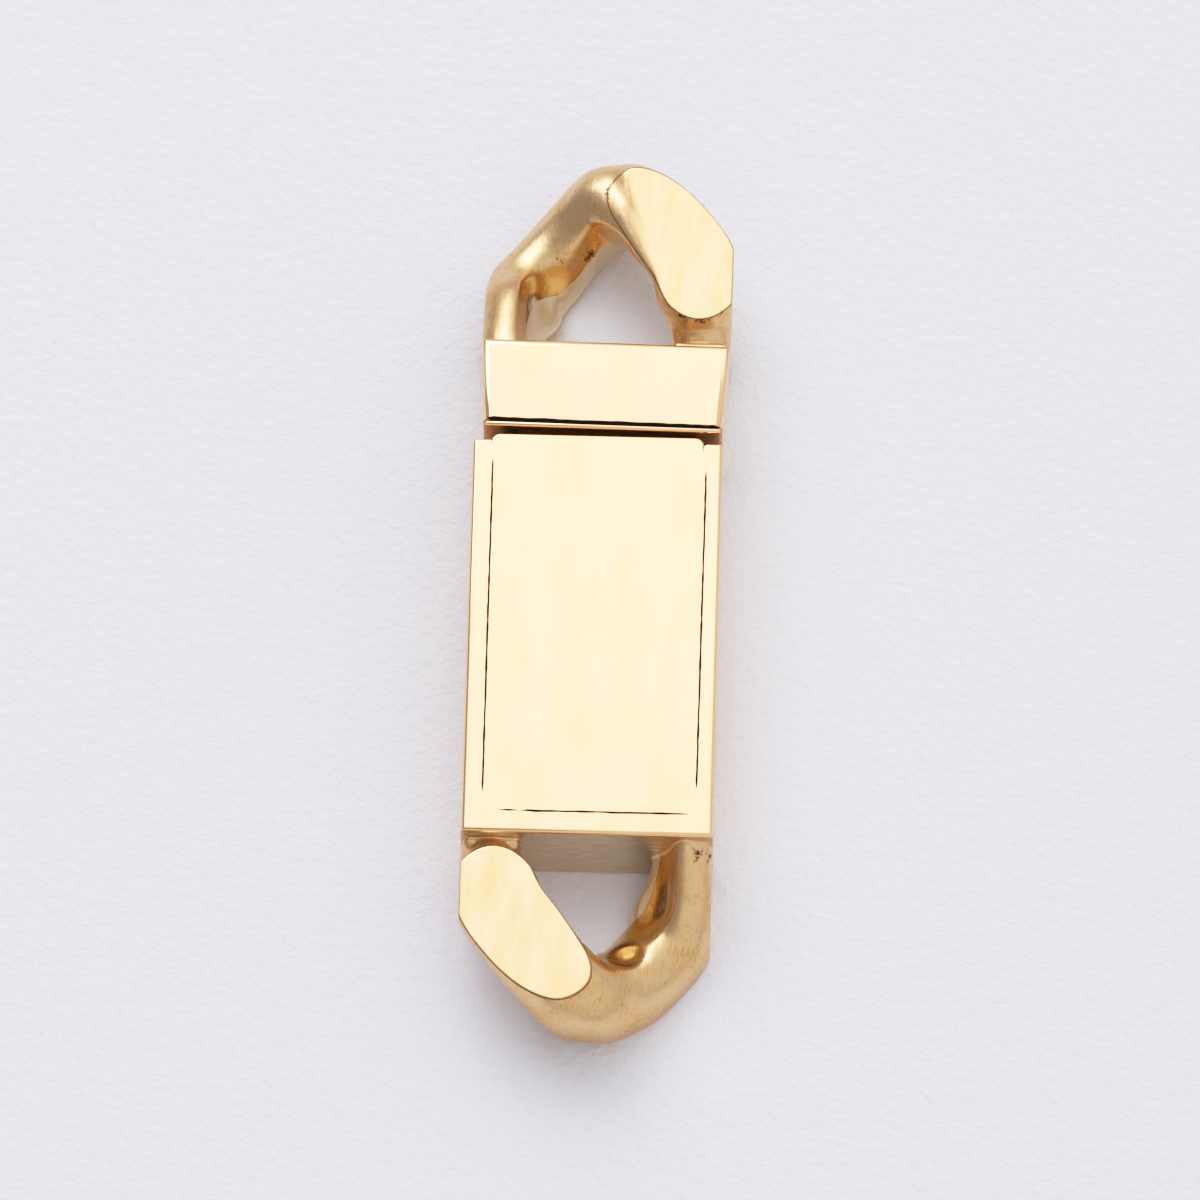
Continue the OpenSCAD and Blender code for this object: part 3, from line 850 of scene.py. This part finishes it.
def tumbled_wire():
    """Gold plating over tumbled steel wire.

    Softer than the flats and deeper in colour, with fine pits; the ground faces are mirrors. Its
    grooves carry a painted highlight and painted reflections, and a few spots carry painted shade
    and a painted dark reflection.
    """
    material, node, shader, place = surface("Tumbled gold plating")

    def off(centre):
        """Distance from a place that is given in millimetres."""
        return node(VECTOR, [place, Vector(centre) * MM], "DISTANCE")

    ground, depth = [node("ShaderNodeAttribute", attribute_name=name).outputs["Fac"]
                     for name in ("ground", "depth")]
    upright = node(SPLIT, [node("ShaderNodeNewGeometry").outputs["Normal"]]).outputs["Z"]
    face = node(MATH, [ground, node(RANGE, [upright, *LEVEL])], "MULTIPLY")
    clouds = node(NOISE, {"Vector": place, **WIRE_CLOUDS})
    grain = node(NOISE, {"Vector": place, **WIRE_GRAIN})
    slanted, drawn = [node(MAPPING, {"Vector": place, "Rotation": FILED, "Scale": stretch})
                      for stretch in (FILE_STRETCH, FACE_STRETCH)]
    marks = node(NOISE, {"Vector": slanted, **FILE_MARKS})
    streaks = node(NOISE, {"Vector": drawn, **FACE_CLOUDS})

    # Grooves, painted with what they mirror: a golden band under the rim as a painted highlight, a
    # brown line along its end as a painted dark reflection, and the worn wall painted pale as a
    # painted reflection of the paper
    filed = node(MATH, [marks, BAND_UNEVEN, depth], "MULTIPLY_ADD")
    frayed = node(MATH, [filed, MIDDLE_GREY * BAND_UNEVEN], "SUBTRACT")
    nest = node(RANGE, [frayed, *RIM_DEPTH])
    pale_wall_reflection = node(RANGE, [frayed, *BAND_DEPTH])
    past_line = node(MATH, [frayed, sum(BAND_DEPTH) / 2], "SUBTRACT")
    off_line = node(MATH, [past_line], "ABSOLUTE")
    line = node(RANGE, [off_line, LINE_DEPTH, 0.0, 0.0, LINE_STRENGTH])
    groove = layered(node, tone("wire_deep"), (pale_wall_reflection, tone("wire_pale")), (line, tone("rim")))

    # Edges, faces, spots and pits, with painted shade and a painted dark reflection among them
    film = node(MATH, [clouds, CLOUD_WEIGHT, marks], "MULTIPLY_ADD")
    polished = layered(node, tone("facet"), (node(RANGE, [streaks, *FACE_WARM]), tone("facet_warm")))
    past_edge = node(MATH, [ground, HALF_GROUND], "SUBTRACT")
    off_edge = node(MATH, [past_edge], "ABSOLUTE")
    edge = node(RANGE, [off_edge, *EDGE_WIDTH, 0.0, node(RANGE, [upright, *FACES_UP])])
    *centre, reach = DARK_RIM
    dark_reflection = node(RANGE, [off(centre), reach * MM, reach * MM * DARK_CORE])
    spots = []
    for *centre, reach, strength, colour in SPOTS:
        limits = reach * MM, reach * MM * SPOT_CORE
        spots.append((node(RANGE, [off(centre), *limits, 0.0, strength], **SMOOTH), tone(colour)))
    uneven = node(MATH, [grain, SPOT_UNEVEN, -SPOT_UNEVEN / 2], "MULTIPLY_ADD")
    pits_and_dark_line = 0.0
    for *centre, reach in PITS_AND_DARK_LINE:
        ragged = node(MATH, [off(centre), uneven], "ADD")
        dark_spot = node(RANGE, [ragged, reach * MM, reach * MM * SPOT_CORE, 0.0, SPOT_STRENGTH])
        pits_and_dark_line = node(MATH, [pits_and_dark_line, dark_spot], "MAXIMUM")
    # The wire's own tones, with a painted highlight and painted reflections in the grooves, and painted
    # shade and a painted dark reflection among the edges, spots and pits
    tint = layered(
        node, tone("wire"), (node(RANGE, [clouds, *WIRE_THICK]), tone("wire_deep")),
        (node(RANGE, [film, *FILM_SHOWS]), tone("rim")), (nest, groove), (face, polished),
        (edge, layered(node, tone("rim"), (dark_reflection, tone("dark")))), *spots, (pits_and_dark_line, tone("dark")))

    dull = node(MIX, {0: nest, 2: node(RANGE, [clouds, *WIRE_SHINE]),
                      3: node(RANGE, [pale_wall_reflection, 0.0, 1.0, *NEST_SHINE])})
    brushed = node(MIX, {0: MARK_SHARE, 2: grain, 3: marks})
    relief = node(MATH, [clouds, CLOUD_RELIEF, brushed], "MULTIPLY_ADD")
    coat(node, shader, tint, node(MIX, {0: face, 2: dull, 3: FACE_SHINE}), relief,
         node(RANGE, [face, *RELIEF_STRENGTH]), WIRE_RELIEF)
    return material


# Satin steel: milled lines along the clasp, with painted shadow over them in the mouth, and sawn
# lines across it, with brown film in them
LINE_RELIEF = 0.004 * MM
MILL_STRETCH = (1.0, 0.03, 1.0)
MILL_LINES = {"Scale": 1 / (0.08 * MM), "Detail": 3.0}
MILL_SHINE = (0.3, 0.7, 0.24, 0.4)
MILL_STRENGTH = 0.4
SHADOW_ALONG = (PLATE_HIGH.y - MM, PLATE_HIGH.y - 0.2 * MM)
SAW_STRETCH = (0.12, 1.0, 1.0)
SAW_LINES = {"Scale": 1 / (0.16 * MM), "Detail": 4.0}
SAW_SHINE = (0.3, 0.7, 0.22, 0.36)
SAW_STRENGTH = 0.5
SAW_FILM = (0.3, 0.75, 0.08, 0.32)


def satin_inside():
    """Gold plating over steel as it was milled: satin, with fine lines along the clasp, and painted shadow
    towards the mouth.
    """
    material, node, shader, place = surface("Satin gold plating")
    # Painted shadow: darker towards the mouth, where the gap before the front plate lies in shade
    mouth = node(RANGE, [node(SPLIT, [place]).outputs["Y"], *SHADOW_ALONG])
    lines = node(NOISE, {"Vector": node(MAPPING, {"Vector": place, "Scale": MILL_STRETCH}), **MILL_LINES})
    coat(node, shader, layered(node, tone("inside"), (mouth, tone("mouth_shadow"))),
         node(RANGE, [lines, *MILL_SHINE]), lines, MILL_STRENGTH, LINE_RELIEF)
    return material


def satin_wall():
    """Gold plating over steel as it was sawn: satin and a little brown, with lines across the clasp."""
    material, node, shader, place = surface("Sawn and plated end wall")
    lines = node(NOISE, {"Vector": node(MAPPING, {"Vector": place, "Scale": SAW_STRETCH}), **SAW_LINES})
    coat(node, shader, layered(node, tone("wire_pale"), (node(RANGE, [lines, *SAW_FILM]), tone("rim"))),
         node(RANGE, [lines, *SAW_SHINE]), lines, SAW_STRENGTH, LINE_RELIEF)
    return material


# Dried polishing paste, and the felt of the paper, which is drawn coarser than it is
GRIT = {"Scale": 1 / (0.1 * MM), "Detail": 3.0}
GRIT_SHINE = (0.3, 0.7, 0.6, 0.9)
FELT = {"Scale": 1 / (0.5 * MM), "Detail": 4.0, "Roughness": 0.6}
FELT_RELIEF = 0.13 * MM
PAPER_SHINE = 0.85


def dark_oxide():
    """Oxide and polishing paste left in the narrow seams: nearly black and dull."""
    material, node, shader, place = surface("Oxide in the seams", metallic=0.0)
    grit = node(NOISE, {"Vector": place, **GRIT})
    feed(shader, {"Base Color": tone("dark"), "Roughness": node(RANGE, [grit, *GRIT_SHINE])})
    return material


def textured_paper():
    """Uncoated paper under the clasp: matt, cool white, with a fine felt texture."""
    material, node, shader, place = surface("Textured paper", metallic=0.0)
    coat(node, shader, tone("paper"), PAPER_SHINE, node(NOISE, {"Vector": place, **FELT}),
         distance=FELT_RELIEF)
    return material


FINISHES = {
    "flat": partial(polished_flat, "flat"), "head": partial(polished_flat, "head"),
    "wire": tumbled_wire, "wall": satin_wall, "inside": satin_inside, "dark": dark_oxide,
    "paper": textured_paper,
}


@cache
def finish(name):
    """One of the clasp's materials, made the first time it is asked for."""
    return FINISHES[name]()


# A face whose normal points this far along the clasp is sawn, not polished
END_FACING = 0.9


def saw_ends(piece, both=False):
    """Gives the second material to the faces at a piece's near end, or at both."""
    for face in piece.data.polygons:
        along = face.normal.y if both else min(0.0, face.normal.y)
        face.material_index = int(abs(along) > END_FACING)


# Rounding of the housing's corners at its mouth
CORNER = 0.2 * MM
# Seams round the cover plate as they still show after grinding: from, to, and burrs as the
# distance from the start and the extra width
SEAMS = (
    ((-5.02 * MM, 2.07 * MM), (-5.02 * MM, 19.52 * MM), ()),
    ((5.16 * MM, 2.47 * MM), (5.23 * MM, 19.08 * MM), ()),
    ((-4.21 * MM, 1.12 * MM), (-3.30 * MM, 1.12 * MM), ()),
    ((-3.18 * MM, 1.12 * MM), (4.82 * MM, 1.12 * MM), ((0.85 * MM, 0.05 * MM), (4.5 * MM, 0.05 * MM))),
)
# Notches between rail and plate: where they are, how wide and deep, and their outline outwards
# and inwards as shares of those
NOTCHES = (-5.02 * MM, 5.08 * MM)
NOTCH_WIDTH = 0.26 * MM
NOTCH_DEPTH = 0.22 * MM
NOTCH_LINE = ((0.0, 1.0), (0.4, 0.6), (0.8, 0.2), (1.4, 0.0))


def rail_corners(length):
    """Outlines of what is missing from the rails' inner corners at the mouth."""
    for place in NOTCHES:
        wide = math.copysign(NOTCH_WIDTH, place)
        line = [(place + out * wide, length - deep * NOTCH_DEPTH, 0) for out, deep in NOTCH_LINE]
        yield (place - wide, length + MM, 0), *line, (line[-1][0], length + MM, 0)


class CLASP_OT_housing(bpy.types.Operator):
    """Builds the housing with its soldered half link"""

    bl_idname = "clasp.housing"
    bl_label = "Housing"

    def execute(self, context):
        sizes = context.scene.clasp_blocks
        half = sizes.width / 2
        corners = ((-half, 0, 0), (half, 0, 0), (half, sizes.length, CORNER), (-half, sizes.length, CORNER))
        piece = prism("housing_box", corners, 0, THICKNESS, [finish("flat"), finish("wall")],
                      top_edge=sizes.edge, bottom_edge=sizes.edge)
        saw_ends(piece)
        past = sizes.length + MM
        over = THICKNESS + MM
        roof = THICKNESS - sizes.plate
        window_end = sizes.length - sizes.window_in
        cuts = (
            (sizes.width - 2 * sizes.wall, (sizes.end_wall, past), (sizes.floor, over)),
            (sizes.width - 2 * sizes.rail, (sizes.end_rail, past), (roof, over)),
            (sizes.window_width, (window_end - sizes.window_length, window_end), (-MM, sizes.floor + MM)),
        )
        for width, along, heights in cuts:
            combine(piece, bar("cut", width, along, heights, [finish("inside")]))
        for corners in rail_corners(sizes.length):
            combine(piece, prism("corner", corners, roof, over, [finish("flat")]))
        for start, end, burrs in SEAMS:
            cut_seam(piece, start, end, sizes.seam, burrs)
        link = curb_link("housing_link", 0.0, HOUSING_LINK)
        about = Matrix.Rotation(math.pi, 4, "Z") @ Matrix.Translation((0, 0, THICKNESS / 2))
        combine(piece, set_down(link, about), "UNION")
        settle(piece, housing_place())
        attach(piece, "housing")
        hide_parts("housing")
        return {"FINISHED"}


# Room that the cover plate has in its recess, and its corners at the mouth
PLATE_PLAY = 0.002 * MM
PLATE_CORNER = 0.4 * MM


class CLASP_OT_cover(bpy.types.Operator):
    """Builds the cover plate let into the top of the housing"""

    bl_idname = "clasp.cover"
    bl_label = "Cover plate"

    def execute(self, context):
        sizes = context.scene.clasp_blocks
        half = sizes.width / 2 - sizes.rail - PLATE_PLAY
        back = sizes.end_rail + PLATE_PLAY
        front = sizes.length + sizes.plate_over
        corners = ((-half, back, 0), (half, back, 0),
                   (half, front, PLATE_CORNER), (-half, front, PLATE_CORNER))
        piece = prism("cover", corners, THICKNESS - sizes.plate, THICKNESS, [finish("flat")],
                      top_edge=lambda middle: sizes.edge / 2 if middle.y > front - PLATE_CORNER else 0.0)
        for start, end, burrs in SEAMS:
            cut_seam(piece, start, end, sizes.seam, burrs)
        settle(piece, housing_place())
        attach(piece, "housing")
        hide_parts("cover_plate")
        return {"FINISHED"}


# Roundings of the head's upper edges, and how near an end an edge belongs to it
FRONT_ROUND = 0.07 * MM
BACK_ROUND = 0.4 * MM
SIDE_ROUND = 0.34 * MM
NEAR_END = 0.1 * MM
# The seam before the head: its ends across and behind the front, its burrs and its width
HEAD_SEAM = ((-5.6 * MM, 0.05 * MM), (5.66 * MM, -0.02 * MM))
HEAD_BURRS = ((1.0 * MM, 0.04 * MM), (9.6 * MM, 0.05 * MM))
HEAD_SEAM_WIDTH = 0.13 * MM


class CLASP_OT_head(bpy.types.Operator):
    """Builds the insert's head with its soldered half link"""

    bl_idname = "clasp.head"
    bl_label = "Head"

    def execute(self, context):
        blocks = context.scene.clasp_blocks
        sizes = context.scene.clasp_insert
        front = blocks.length + sizes.gap + sizes.front
        back = front + sizes.head
        narrow = sizes.front_width / 2
        wide = blocks.width / 2

        def rounding(middle):
            """Radius of the upper edge whose middle this is."""
            if middle.y < front + NEAR_END:
                return FRONT_ROUND
            return BACK_ROUND if middle.y > back - NEAR_END else SIDE_ROUND

        corners = ((-narrow, front, 0), (narrow, front, 0), (wide, back, 0), (-wide, back, 0))
        piece = prism("head_block", corners, 0, THICKNESS, [finish("head"), finish("wall")],
                      top_edge=rounding, bottom_edge=blocks.edge)
        saw_ends(piece, both=True)
        start, end = [(across, front + behind) for across, behind in HEAD_SEAM]
        cut_seam(piece, start, end, HEAD_SEAM_WIDTH, HEAD_BURRS)
        link = curb_link("head_link", context.scene.clasp_link.longer, HEAD_LINK)
        combine(piece, set_down(link, Matrix.Translation((0, back, THICKNESS / 2))), "UNION")
        settle(piece, insert_place())
        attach(piece, "insert")
        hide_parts("insert_head")
        return {"FINISHED"}


# How far the front plate stands back from the head, and the edges of plate and tongue
FRONT_INSET = 0.1 * MM
FRONT_EDGE = 0.22 * MM
TONGUE_EDGE = 0.1 * MM


class CLASP_OT_tongue(bpy.types.Operator):
    """Builds the front plate with its tongue"""

    bl_idname = "clasp.tongue"
    bl_label = "Tongue"

    def execute(self, context):
        blocks = context.scene.clasp_blocks
        sizes = context.scene.clasp_insert
        head = blocks.length + sizes.gap
        top = THICKNESS - blocks.plate - sizes.room
        piece = bar("tongue_bar", sizes.front_width - 2 * FRONT_INSET, (head, head + sizes.front),
                    (FRONT_INSET, THICKNESS - FRONT_INSET), [finish("flat"), finish("wall")],
                    top_edge=FRONT_EDGE, bottom_edge=TONGUE_EDGE)
        saw_ends(piece)
        other = bar("bar", sizes.tongue, (blocks.end_wall + sizes.room, head + sizes.front / 2),
                    (top - sizes.tongue_thickness, top), [finish("inside")],
                    top_edge=TONGUE_EDGE, bottom_edge=TONGUE_EDGE)
        combine(piece, other, "UNION")
        settle(piece, insert_place())
        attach(piece, "insert")
        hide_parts("tongue")
        return {"FINISHED"}


# The leaf's middle line from its root under the tongue to its toe in the catch window:
# along the clasp and up from the floor's underside, in millimetres
LEAF_LINE = ((1.9, 2.15), (4.1, 2.15), (15.0, 1.10), (15.6, 0.40), (17.0, 0.40))
LEAF_ROUND = 0.08 * MM
BEND_STEPS = 8


def leaf_group():
    """Node tree: a strip with rounded edges, bent along a line."""
    inputs = {"Geometry": GEOMETRY_SOCKET, "Material": MATERIAL_SOCKET,
              **dict.fromkeys(("Width", "Thickness", "Bend", "Round"), FLOAT_SOCKET)}
    node, given, result = new_group("Bent leaf", inputs, {"Geometry": GEOMETRY_SOCKET})
    section = node("GeometryNodeCurvePrimitiveQuadrilateral",
                   {"Width": given["Width"], "Height": given["Thickness"]})
    bent, soft = [
        node("GeometryNodeFilletCurve",
             {"Curve": curve, "Count": BEND_STEPS, "Radius": radius, "Limit Radius": True}, mode="POLY")
        for curve, radius in ((given["Geometry"], given["Bend"]), (section, given["Round"]))]
    level = node("GeometryNodeSetCurveNormal", {"Curve": bent}, mode="Z_UP")
    strip = node("GeometryNodeCurveToMesh", {"Curve": level, "Profile Curve": soft, "Fill Caps": True})
    whole = node("GeometryNodeRealizeInstances", [strip])
    coated = node("GeometryNodeSetMaterial", {"Geometry": whole, "Material": given["Material"]})
    return feed(result, [coated]).id_data


class CLASP_OT_leaf(bpy.types.Operator):
    """Builds the bent spring leaf under the tongue"""

    bl_idname = "clasp.leaf"
    bl_label = "Spring leaf"

    def execute(self, context):
        sizes = context.scene.clasp_insert
        line = [(0.0, along * MM, up * MM) for along, up in LEAF_LINE]
        piece = grown("leaf", line, leaf_group(), {
            "Width": sizes.leaf_width, "Thickness": sizes.leaf, "Bend": sizes.leaf_bend,
            "Round": LEAF_ROUND, "Material": finish("inside"),
        })
        settle(piece, insert_place())
        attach(piece, "insert")
        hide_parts("spring_leaf")
        return {"FINISHED"}


# How bright light is compressed in the picture, as in a photograph: light in, light out, on
# the curve for all three colours
BRIGHTEST = 2.3
ROLL_OFF = ((0.25, 0.25), (0.5, 0.5), (0.75, 0.69), (1.0, 0.81), (1.25, 0.885), (1.6, 0.95), (2.0, 0.99))
COMBINED = 3
# Half the paper's width, and the camera's sensor in millimetres and clipping distances
PAPER_HALF = 400 * MM
SENSOR = 36.0
CLIP = (10 * MM, 10.0)
# The softbox: direction from the clasp, distance, width and length, power in watts, colour
KEY_DIRECTION = (-0.36, 0.68, 0.64)
KEY_DISTANCE = 600 * MM
KEY_SIZE = (380 * MM, 340 * MM)
KEY_POWER = 1.25
KEY_COLOUR = "#F0F4FF"
# The room is a plain pale grey. Around some directions its light changes, from the first
# strength outside the outer angle to the second inside the inner one, in degrees: the bright
# ceiling panel, the darker left side, the shade of the camera, and the dark foot of the walls
ROOM_COLOUR = "#FAFBFF"
ROOM = (
    ((-0.06, 0.66, 0.75), 2, 38, (1.0, 2.5)),
    ((-0.88, -0.2, 0.43), 30, 75, (0.95, 0.4)),
    ((0.03, -0.41, 0.91), 3, 11, (1.0, 0.5)),
    ((0.0, 0.0, -1.0), 88, 104, (1.0, 0.3)),
)


def aimed(name, data, direction, distance, centre=(0, 0, 0)):
    """A lamp or camera that looks at a point from a direction and a distance."""
    made = new_object(name, data)
    made.location = Vector(centre) + direction * distance
    made.rotation_euler = direction.to_track_quat("Z", "Y").to_euler()
    return made


def develop(settings):
    """Lets the brightest light roll off softly, so that bright gold stays cream."""
    settings.view_transform = "Standard"
    settings.use_curve_mapping = True
    mapping = settings.curve_mapping
    mapping.white_level = (BRIGHTEST,) * 3
    for light_in, light_out in ROLL_OFF:
        mapping.curves[COMBINED].points.new(light_in / BRIGHTEST, light_out)
    mapping.update()


class CLASP_OT_stage(bpy.types.Operator):
    """Lays the paper, and sets the lights and the camera"""

    bl_idname = "clasp.stage"
    bl_label = "Paper, light and camera"

    def execute(self, context):
        sizes = context.scene.clasp_stage
        shape = bmesh.new()
        bmesh.ops.create_grid(shape, x_segments=1, y_segments=1, size=PAPER_HALF)
        mesh = bpy.data.meshes.new("paper")
        shape.to_mesh(mesh)
        shape.free()
        mesh.materials.append(finish("paper"))
        new_object("paper", mesh)

        lamp = bpy.data.lights.new("Key light", "AREA")
        lamp.shape = "RECTANGLE"
        lamp.size, lamp.size_y = KEY_SIZE
        lamp.energy = KEY_POWER
        lamp.color = linear(KEY_COLOUR, alpha=False)
        aimed("Key light", lamp, Vector(KEY_DIRECTION).normalized(), KEY_DISTANCE)

        world = bpy.data.worlds.new("Studio")
        context.scene.world = world
        world.use_nodes = True
        node = partial(add, world.node_tree)
        seen = node("ShaderNodeTexCoord").outputs["Generated"]
        light = 1.0
        for direction, inner, outer, strengths in ROOM:
            near = node(VECTOR, [seen, Vector(direction).normalized()], "DOT_PRODUCT")
            cosines = [math.cos(math.radians(limit)) for limit in (outer, inner)]
            part = node(RANGE, [near, *cosines, *strengths], **SMOOTH)
            light = node(MATH, [light, part], "MULTIPLY")
        feed(world.node_tree.nodes["Background"], {"Color": linear(ROOM_COLOUR), "Strength": light})
        develop(context.scene.view_settings)

        lens = bpy.data.cameras.new("Camera")
        lens.lens = sizes.lens
        lens.sensor_width = SENSOR
        lens.clip_start, lens.clip_end = CLIP
        rise, round_to = sizes.elevation, sizes.azimuth
        back = Vector((math.sin(round_to) * math.cos(rise), -math.cos(round_to) * math.cos(rise),
                       math.sin(rise)))
        context.scene.camera = aimed("Camera", lens, back, sizes.distance, sizes.look_at)
        return {"FINISHED"}


class CLASP_PT_clasp(bpy.types.Panel):
    """Sizes, colours and build steps of the clasp"""

    bl_idname = "CLASP_PT_clasp"
    bl_label = "Insert clasp"
    bl_space_type = "VIEW_3D"
    bl_region_type = "UI"
    bl_category = "Clasp"

    def draw(self, context):
        for name, kind in GROUPS.items():
            box = self.layout.box()
            box.label(text=kind.__doc__)
            for label in kind.__annotations__:
                box.prop(getattr(context.scene, name), label)
        steps = self.layout.column(align=True)
        for kind in STEPS:
            steps.operator(kind.bl_idname)


GROUPS = {
    "clasp_blocks": BlockSizes, "clasp_insert": InsertSizes, "clasp_link": LinkSizes,
    "clasp_finish": FinishColours, "clasp_stage": StageSizes,
}
STEPS = (
    CLASP_OT_housing, CLASP_OT_cover, CLASP_OT_head, CLASP_OT_tongue, CLASP_OT_leaf, CLASP_OT_stage,
)
CLASSES = (*GROUPS.values(), *STEPS, CLASP_PT_clasp)


def register():
    """Makes the clasp's sizes, operators and panel known to Blender."""
    for kind in CLASSES:
        bpy.utils.register_class(kind)
    for name, kind in GROUPS.items():
        setattr(bpy.types.Scene, name, PointerProperty(type=kind))


def unregister():
    """Takes them out again."""
    for name in GROUPS:
        delattr(bpy.types.Scene, name)
    for kind in reversed(CLASSES):
        bpy.utils.unregister_class(kind)


def main():
    """Builds the clasp and its stage."""
    register()
    bpy.ops.clasp.housing()
    bpy.ops.clasp.cover()
    bpy.ops.clasp.head()
    bpy.ops.clasp.tongue()
    bpy.ops.clasp.leaf()
    bpy.ops.clasp.stage()


if __name__ == "__main__":
    main()
